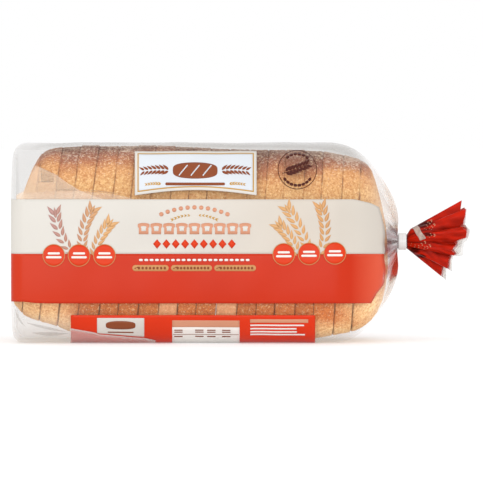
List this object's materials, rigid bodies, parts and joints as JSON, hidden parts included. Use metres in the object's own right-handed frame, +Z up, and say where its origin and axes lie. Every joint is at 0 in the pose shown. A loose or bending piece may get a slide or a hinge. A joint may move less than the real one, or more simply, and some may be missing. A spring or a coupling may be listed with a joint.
{
  "type": "sliced loaf in bread bag",
  "caption": "Sliced sourdough loaf in a clear film bag with a printed band, gathered at one end to a taped neck and a pleated tail.",
  "frame": {"origin": "on the surface the pack stands on, below the middle of the whole pack with its tail", "axes": "+X along the loaf from the bag's flat end to its tail, -Y out of the printed front, +Z up"},
  "size_m": [0.3056, 0.112, 0.1323],
  "materials": {
    "bag_film": "glossy, clear between the printed fields",
    "tape": "satin, milky",
    "red_print": "glossy ink on film",
    "cream_print": "glossy ink on film",
    "tan_print": "glossy ink on film",
    "brown_print": "glossy ink on film",
    "crust": "dry baked crust dusted with flour",
    "crumb": "soft white crumb"
  },
  "bodies": {
    "root": {"bag": "bag_film", "neck_tape": "tape"}
  },
  "joints": []
}
